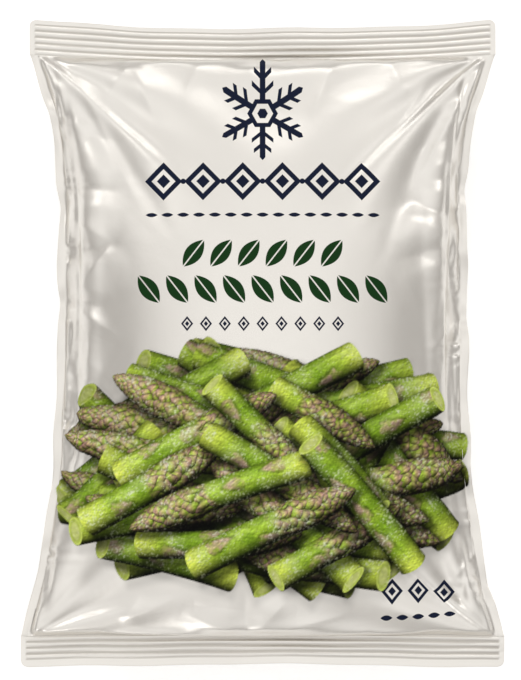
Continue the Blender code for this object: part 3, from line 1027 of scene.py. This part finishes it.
def crystal(tree, x, y):
    """A six-armed ice crystal: one arm with its side twigs, folded round the middle six times."""
    x, y = maths(tree, "SUBTRACT", x, CRYSTAL_MIDDLE[0]), maths(tree, "SUBTRACT", y, CRYSTAL_MIDDLE[1])
    away = distance(tree, x, y)
    turn = maths(tree, "WRAP", maths(tree, "ARCTAN2", x, y), math.radians(30), math.radians(-30))
    out = maths(tree, "MULTIPLY", away, maths(tree, "COSINE", turn))
    aside = maths(tree, "ABSOLUTE", maths(tree, "MULTIPLY", away, maths(tree, "SINE", turn)))
    taper = maths(tree, "MULTIPLY", maths(tree, "SUBTRACT", CRYSTAL_REACH, out), 0.9)
    arm = maths(tree, "SUBTRACT", maths(tree, "MINIMUM", 1.35, taper), aside)
    shapes = [maths(tree, "MINIMUM", arm, maths(tree, "SUBTRACT", out, 4.5))]
    for start, reach in ((8.8, 5.2), (14.6, 4.2)):
        along = maths(tree, "SUBTRACT", out, maths(tree, "MULTIPLY_ADD", aside, 0.8, start))
        twig = maths(tree, "SUBTRACT", 1.05, maths(tree, "ABSOLUTE", along))
        shapes.append(maths(tree, "MINIMUM", twig, maths(tree, "SUBTRACT", reach, aside)))
    shapes.append(maths(tree, "SUBTRACT", 1.0, maths(tree, "ABSOLUTE", maths(tree, "SUBTRACT", out, 5.4))))
    shapes.append(maths(tree, "SUBTRACT", 2.2, out))
    return highest(tree, shapes)


# The film's own colour in faint clouds, a painted shade for the seals' grooves, and how metallic it is
PEARL_LIGHT, PEARL_SHADE = (0.850, 0.818, 0.765, 1), (0.808, 0.774, 0.720, 1)
PEARL_GROOVE_SHADE = (0.52, 0.485, 0.435, 1)
PEARL_METALLIC = 0.74


def new_finish(name):
    """A new material, its node tree and its shader."""
    finish = bpy.data.materials.new(name)
    finish.use_nodes = True
    return finish, finish.node_tree, finish.node_tree.nodes["Principled BSDF"]


def print_ornaments(tree, colour, bare, place):
    """Prints the ornaments over the film's colour, and counts them off what is bare of ink."""
    spot = node(tree, "VectorMath", i0=place, i1=(1000, 1000, 1000))
    spot.operation = "MULTIPLY"
    spot = node(tree, "SeparateXYZ", Vector=spot.outputs[0])
    x, y = spot.outputs["X"], spot.outputs["Y"]
    for ink, tone in INKS.items():
        shapes = [ornament_row(tree, x, y, *row[1:]) for row in ORNAMENTS if row[0] == ink]
        if ink == "blue":
            shapes.append(crystal(tree, x, y))
        share = maths(tree, "MULTIPLY_ADD", highest(tree, shapes), 1 / INK_EDGE, 0.5, clamp=True)
        colour = mixed(tree, share, colour, tone)
        bare = maths(tree, "MULTIPLY", bare, maths(tree, "SUBTRACT", 1.0, share))
    return colour, bare


def show_picture(tree, colour, bare):
    """Adds the picture kept in the film's points, and counts it off what is bare of ink."""
    ink = node(tree, "Attribute")
    ink.attribute_name = "picture"
    colour = mixed(tree, ink.outputs["Alpha"], colour, (0, 0, 0, 1))
    laid = node(tree, "VectorMath", i0=colour, i1=ink.outputs["Color"])
    return laid.outputs[0], maths(tree, "MULTIPLY", bare, maths(tree, "SUBTRACT", 1.0, ink.outputs["Alpha"]))


def film_finish(name, ornaments, picture):
    """Pearl-white film: satin, faintly metallic and finely crinkled, with matter ink where it is printed."""
    finish, tree, shader = new_finish(name)
    shader.inputs["Specular IOR Level"].default_value = 0.06
    places = node(tree, "TexCoord")
    solid = places.outputs["Object"]
    cloud = node(tree, "TexNoise", Vector=solid, Scale=22.0, Detail=3.0)
    crinkle = node(tree, "TexNoise", Vector=solid, Scale=140.0, Detail=4.0, Roughness=0.55)
    grooves = node(tree, "Attribute")
    grooves.attribute_name = "pressed"
    colour, bare = mixed(tree, cloud.outputs["Fac"], PEARL_SHADE, PEARL_LIGHT), 1.0
    # Painted shade: the film is darkened towards the bottom of the seals' grooves
    colour = mixed(tree, grooves.outputs["Fac"], colour, PEARL_GROOVE_SHADE)
    if ornaments:
        colour, bare = print_ornaments(tree, colour, bare, places.outputs["UV"])
    if picture:
        colour, bare = show_picture(tree, colour, bare)
    inked = maths(tree, "SUBTRACT", 1.0, bare)
    satin = maths(tree, "MULTIPLY_ADD", crinkle.outputs["Fac"], 0.10, 0.32)
    bump = node(tree, "Bump", Strength=0.35, Distance=0.00025, Height=crinkle.outputs["Fac"])
    feed(tree, shader.inputs["Base Color"], colour)
    feed(tree, shader.inputs["Metallic"], maths(tree, "MULTIPLY", bare, PEARL_METALLIC))
    feed(tree, shader.inputs["Roughness"], maths(tree, "MULTIPLY_ADD", inked, 0.06, satin))
    feed(tree, shader.inputs["Normal"], bump.outputs["Normal"])
    return finish


film_plain = film_finish("pearl_film_plain", ornaments=False, picture=False)
film_printed = film_finish("pearl_film_printed", ornaments=True, picture=False)
film_pictured = film_finish("pearl_film_pictured", ornaments=True, picture=True)
for piece, finish in (
    (film_foot, film_printed),
    (film_lower, film_pictured),
    (film_upper, film_pictured),
    (film_head, film_printed),
    (film_back, film_plain),
):
    piece.data.materials.append(finish)

# The contents: cut spears of green asparagus, quick-frozen loose. They lie inside the film, which isn't
# see-through; their skins are frosted and blotched, greener on the stems and purple-brown on the tips.

STEM_TONES = ((0.105, 0.240, 0.022, 1), (0.310, 0.420, 0.070, 1))
TIP_TONES = ((0.130, 0.200, 0.035, 1), (0.200, 0.120, 0.095, 1))
FROST = (0.62, 0.68, 0.55, 1)


def spear_finish(name, tones):
    """A spear's frosted skin, blotched in two tones."""
    finish, tree, shader = new_finish(name)
    places = node(tree, "TexCoord")
    blotches = node(tree, "TexNoise", Vector=places.outputs["Object"], Scale=160.0, Detail=3.0)
    sparkle = node(tree, "TexNoise", Vector=places.outputs["Object"], Scale=1500.0, Detail=2.0)
    blotched = maths(tree, "MULTIPLY_ADD", blotches.outputs["Fac"], 4.0, -1.5, clamp=True)
    frosted = maths(tree, "MULTIPLY_ADD", sparkle.outputs["Fac"], 6.0, -3.5, clamp=True)
    colour = mixed(tree, blotched, *tones)
    bump = node(tree, "Bump", Strength=0.4, Distance=0.0004, Height=blotches.outputs["Fac"])
    feed(tree, shader.inputs["Base Color"], mixed(tree, frosted, colour, FROST))
    feed(tree, shader.inputs["Roughness"], maths(tree, "MULTIPLY_ADD", frosted, 0.25, 0.45))
    feed(tree, shader.inputs["Normal"], bump.outputs["Normal"])
    return finish


spear_finishes = {
    "stem": spear_finish("frozen_stem", STEM_TONES),
    "tip": spear_finish("frozen_tip", TIP_TONES),
}
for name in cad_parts:
    if name.startswith("spear_"):
        bpy.data.objects[name].material_slots[0].material = spear_finishes[name.split("_")[-1]]

# The table that the pouch lies on, the soft lamps over it and the camera straight above it.

top = bmesh.new()
bmesh.ops.create_grid(top, size=3.0)
floor = object_from(top, "floor")
white, tree, shader = new_finish("white_table")
shader.inputs["Base Color"].default_value = (0.93, 0.93, 0.93, 1)
shader.inputs["Roughness"].default_value = 0.9
shader.inputs["Emission Color"].default_value = (1, 1, 1, 1)
shader.inputs["Emission Strength"].default_value = 0.33
floor.data.materials.append(white)

# The room's light: white overhead, and warm and dim all round
SKY_OVERHEAD, SKY_ROUND = (1.17, 1.17, 1.17, 1), (0.10, 0.085, 0.07, 1)
SKY_FALL = 1.35
room = bpy.data.worlds.new("room")
room.use_nodes = True
tree = room.node_tree
way = node(tree, "SeparateXYZ", Vector=node(tree, "TexCoord").outputs["Generated"])
height = maths(tree, "POWER", maths(tree, "MAXIMUM", way.outputs["Z"], 0.0), SKY_FALL)
tree.links.new(mixed(tree, height, SKY_ROUND, SKY_OVERHEAD), tree.nodes["Background"].inputs["Color"])
world.world = room


# The lamps: place, size, power
LAMPS = {
    "left": ((-1.4, 1.2, 1.25), (0.4, 0.6), 4.2),
    "right": ((1.5, 1.05, 1.2), (0.35, 0.6), 3.4),
    "head": ((0.15, 2.0, 1.2), (1.0, 0.35), 4.5),
    "foot": ((-0.7, -1.85, 0.85), (0.5, 0.3), 4.5),
}
for name, (place, size, power) in LAMPS.items():
    light = bpy.data.lights.new(name, "AREA")
    light.shape = "RECTANGLE"
    light.size, light.size_y = size
    light.energy = power
    lamp = bpy.data.objects.new(name, light)
    lamp.location = place
    lamp.rotation_euler = (-Vector(place)).to_track_quat("-Z", "Y").to_euler()
    world.collection.objects.link(lamp)

# The camera: how much of the table its frame's longer side takes in, how far off it is, what it stands over
VIEW_HEIGHT = 0.3305
DISTANCE = 2.0
VIEW_MIDDLE = (-0.001, 0.0019)
lens = bpy.data.cameras.new("camera")
lens.lens = lens.sensor_width * DISTANCE / VIEW_HEIGHT
camera = bpy.data.objects.new("camera", lens)
camera.location = (*VIEW_MIDDLE, SEAM_LEVEL + DISTANCE)
world.collection.objects.link(camera)
world.camera = camera
world.view_settings.view_transform = "Standard"
